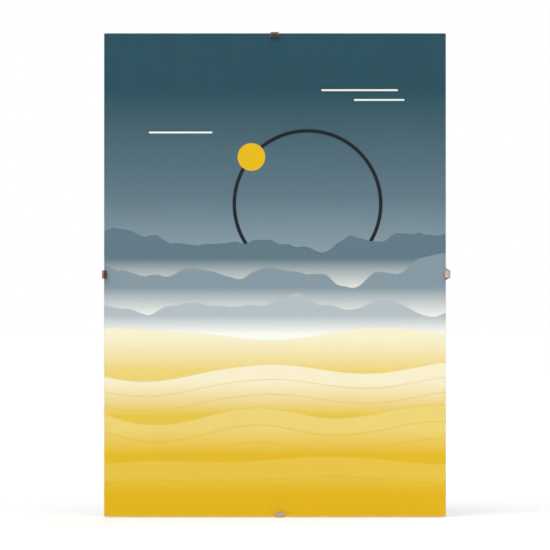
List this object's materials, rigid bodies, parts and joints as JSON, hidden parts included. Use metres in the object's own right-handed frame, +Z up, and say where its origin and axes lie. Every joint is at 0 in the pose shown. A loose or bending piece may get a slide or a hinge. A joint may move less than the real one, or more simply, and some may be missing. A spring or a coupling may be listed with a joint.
{
  "type": "clip frame",
  "caption": "Frameless picture holder: a glass pane, a printed sheet and a hardboard back held together at the edges by sliding spring clips, hung on keyhole plates.",
  "frame": {"origin": "centre of the upright hanger's keyhole entry, on the hanger plate's back face", "axes": "+X to the viewer's right, +Z up along the long side, +Y out of the back towards the wall; the picture faces -Y"},
  "size_m": [0.2142, 0.0093, 0.2985],
  "materials": {
    "float_glass": "polished faces, ground arris",
    "printed_paper": "satin inkjet print",
    "hardboard": "pressed brown fibre board with a screened back",
    "spring_steel": "nickel plated, lightly brushed",
    "zinc_steel": "bright zinc plated",
    "rivet_aluminium": "turned and headed"
  },
  "bodies": {
    "frame": {"glass_pane": "float_glass", "picture_insert": "printed_paper", "backing_board": "hardboard", "hanger_portrait": "zinc_steel", "hanger_landscape": "zinc_steel", "hanger_rivets": "rivet_aluminium"},
    "top_clip": {"clip_top": "spring_steel"},
    "right_clip": {"clip_right": "spring_steel"},
    "bottom_clip": {"clip_bottom": "spring_steel"},
    "left_clip": {"clip_left": "spring_steel"}
  },
  "joints": [
    {"name": "top_clip_slide", "type": "slide", "parent": "frame", "child": "top_clip", "axis": [0, 0, 1], "range_m": [-0.00029, 0.00371]},
    {"name": "right_clip_slide", "type": "slide", "parent": "frame", "child": "right_clip", "axis": [1, 0, 0], "range_m": [-0.00225, 0.00175]},
    {"name": "bottom_clip_slide", "type": "slide", "parent": "frame", "child": "bottom_clip", "axis": [0, 0, -1], "range_m": [0, 0.004]},
    {"name": "left_clip_slide", "type": "slide", "parent": "frame", "child": "left_clip", "axis": [-1, 0, 0], "range_m": [-0.0007, 0.0033]}
  ]
}
